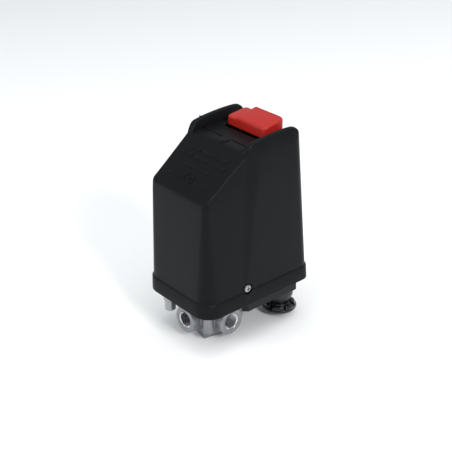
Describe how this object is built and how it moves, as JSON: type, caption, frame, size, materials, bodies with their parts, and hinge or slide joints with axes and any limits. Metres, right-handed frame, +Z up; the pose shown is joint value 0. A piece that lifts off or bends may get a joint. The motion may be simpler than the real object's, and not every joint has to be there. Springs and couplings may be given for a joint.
{
  "type": "compressor pressure switch",
  "caption": "Air-compressor pressure switch: tapering black cover with sloping front, red on/off knob, die-cast port manifold below and cable glands at the rear.",
  "frame": {"origin": "centre of the tank port's mouth, on the underside of the manifold", "axes": "+Z up along the tank port's axis through the piston, -Y towards the front port and the sloping front of the cover, +X to the right seen from the front"},
  "size_m": [0.076, 0.11, 0.173],
  "materials": {
    "black_cover": "satin black moulded ABS, finely spark-textured",
    "black_nylon": "black glass-filled nylon moulding",
    "gland_nylon": "glossy black nylon",
    "red_knob": "glossy red moulded plastic",
    "die_cast_zinc": "tumbled pressure die casting",
    "zinc_plated_steel": "bright zinc plate",
    "piston_steel": "ground steel",
    "spring_steel": "oiled spring wire",
    "nickel_plated_brass": "nickel plate on turned brass",
    "brass": "bright turned and stamped brass",
    "copper": "stamped copper with silver contacts",
    "rubber": "moulded nitrile rubber",
    "phenolic": "dark brown phenolic moulding",
    "carrier_plastic": "natural nylon moulding"
  },
  "bodies": {
    "housing": {"base": "black_nylon", "contact_block": "phenolic", "contact_block_screws": "zinc_plated_steel", "cover": "black_cover", "cover_screws": "zinc_plated_steel", "diaphragm": "rubber", "differential_spring": "spring_steel", "earth_clamp": "brass", "earth_screw": "brass", "frame": "zinc_plated_steel", "frame_screws": "zinc_plated_steel", "gland_body_left": "gland_nylon", "gland_body_right": "gland_nylon", "gland_locknut_left": "gland_nylon", "gland_locknut_right": "gland_nylon", "gland_seal_left": "rubber", "gland_seal_right": "rubber", "lever_pin": "piston_steel", "line_contacts": "brass", "load_contacts": "brass", "manifold": "die_cast_zinc", "manifold_screws": "zinc_plated_steel", "range_spring": "spring_steel", "terminal_clamps": "zinc_plated_steel", "terminal_screws": "zinc_plated_steel", "trip_pin": "piston_steel", "unloader_body": "nickel_plated_brass", "unloader_nut": "nickel_plated_brass", "unloader_olive": "brass", "unloader_spring": "spring_steel"},
    "piston": {"piston": "piston_steel"},
    "lever": {"main_lever": "zinc_plated_steel", "range_spring_seat": "zinc_plated_steel", "differential_spring_seat": "zinc_plated_steel"},
    "carrier": {"contact_carrier": "carrier_plastic", "contact_bridges": "copper", "contact_springs": "spring_steel"},
    "unloader_valve_pin": {"unloader_pin": "piston_steel"},
    "range_adjuster": {"range_screw": "zinc_plated_steel"},
    "range_plate": {"range_spring_plate": "zinc_plated_steel"},
    "differential_adjuster": {"differential_screw": "zinc_plated_steel"},
    "differential_plate": {"differential_spring_plate": "zinc_plated_steel"},
    "knob": {"knob_cap": "red_knob", "knob_slider": "black_nylon"},
    "trip_lever": {"trip_lever": "zinc_plated_steel"},
    "trip_link": {"trip_link": "zinc_plated_steel"},
    "thrust_ring_right": {"gland_ring_right": "gland_nylon"},
    "clamp_nut_right": {"gland_nut_right": "gland_nylon"},
    "thrust_ring_left": {"gland_ring_left": "gland_nylon"},
    "clamp_nut_left": {"gland_nut_left": "gland_nylon"}
  },
  "joints": [
    {"name": "lever_pivot", "type": "hinge", "parent": "housing", "child": "lever", "pos_m": [0, -0.014, 0.06], "axis": [1, 0, 0], "range_deg": [0, 5], "stiffness_Nm_per_rad": 1, "springref_deg": -5.73},
    {"name": "piston_slide", "type": "slide", "parent": "housing", "child": "piston", "axis": [0, 0, 1], "range_m": [0, 0.00124]},
    {"name": "carrier_slide", "type": "slide", "parent": "housing", "child": "carrier", "axis": [0, 0, 1], "range_m": [0, 0.0055]},
    {"name": "unloader_pin_slide", "type": "slide", "parent": "housing", "child": "unloader_valve_pin", "axis": [0, 0, -1], "range_m": [0, 0.0007], "deforming": ["unloader_spring"]},
    {"name": "range_screw_turn", "type": "hinge", "parent": "housing", "child": "range_adjuster", "pos_m": [0, 0, 0.104], "axis": [0, 0, 1], "range_deg": [0, 1805]},
    {"name": "range_plate_slide", "type": "slide", "parent": "housing", "child": "range_plate", "axis": [0, 0, -1], "range_m": [0, 0.00625], "deforming": ["range_spring"]},
    {"name": "differential_screw_turn", "type": "hinge", "parent": "housing", "child": "differential_adjuster", "pos_m": [0, 0.0175, 0.104], "axis": [0, 0, 1], "range_deg": [0, 1805]},
    {"name": "differential_plate_slide", "type": "slide", "parent": "housing", "child": "differential_plate", "axis": [0, 0, -1], "range_m": [0, 0.004], "deforming": ["differential_spring"]},
    {"name": "knob_slide", "type": "slide", "parent": "housing", "child": "knob", "axis": [0, 0, -1], "range_m": [0, 0.006]},
    {"name": "trip_pivot", "type": "hinge", "parent": "housing", "child": "trip_lever", "pos_m": [0, 0.0226, 0.096], "axis": [-1, 0, 0], "range_deg": [0, 19]},
    {"name": "trip_link_slide", "type": "slide", "parent": "housing", "child": "trip_link", "axis": [0, 0, 1], "range_m": [0, 0.0037]},
    {"name": "gland_ring_right_slide", "type": "slide", "parent": "housing", "child": "thrust_ring_right", "axis": [0, 0, -1], "range_m": [0, 0.00455]},
    {"name": "gland_nut_right_turn", "type": "hinge", "parent": "thrust_ring_right", "child": "clamp_nut_right", "pos_m": [0.018, 0.059, 0.007], "axis": [0, 0, -1], "range_deg": [0, 1080]},
    {"name": "gland_ring_left_slide", "type": "slide", "parent": "housing", "child": "thrust_ring_left", "axis": [0, 0, -1], "range_m": [0, 0.00455]},
    {"name": "gland_nut_left_turn", "type": "hinge", "parent": "thrust_ring_left", "child": "clamp_nut_left", "pos_m": [-0.018, 0.059, 0.007], "axis": [0, 0, -1], "range_deg": [0, 1080]}
  ],
  "couplings": [
    {"joint": "piston_slide", "follows": "lever_pivot", "m_per_rad": 0.014},
    {"joint": "carrier_slide", "follows": "lever_pivot", "m_per_rad": 0.062},
    {"joint": "unloader_pin_slide", "follows": "lever_pivot", "m_per_rad": 0.0075},
    {"joint": "range_screw_turn", "follows": "range_plate_slide", "rad_per_m": 5026.5},
    {"joint": "differential_screw_turn", "follows": "differential_plate_slide", "rad_per_m": 7854},
    {"joint": "trip_pivot", "follows": "knob_slide", "rad_per_m": 54},
    {"joint": "trip_link_slide", "follows": "knob_slide", "ratio": 0.6},
    {"joint": "gland_ring_right_slide", "follows": "gland_nut_right_turn", "m_per_rad": 0.00023873},
    {"joint": "gland_ring_left_slide", "follows": "gland_nut_left_turn", "m_per_rad": 0.00023873}
  ]
}
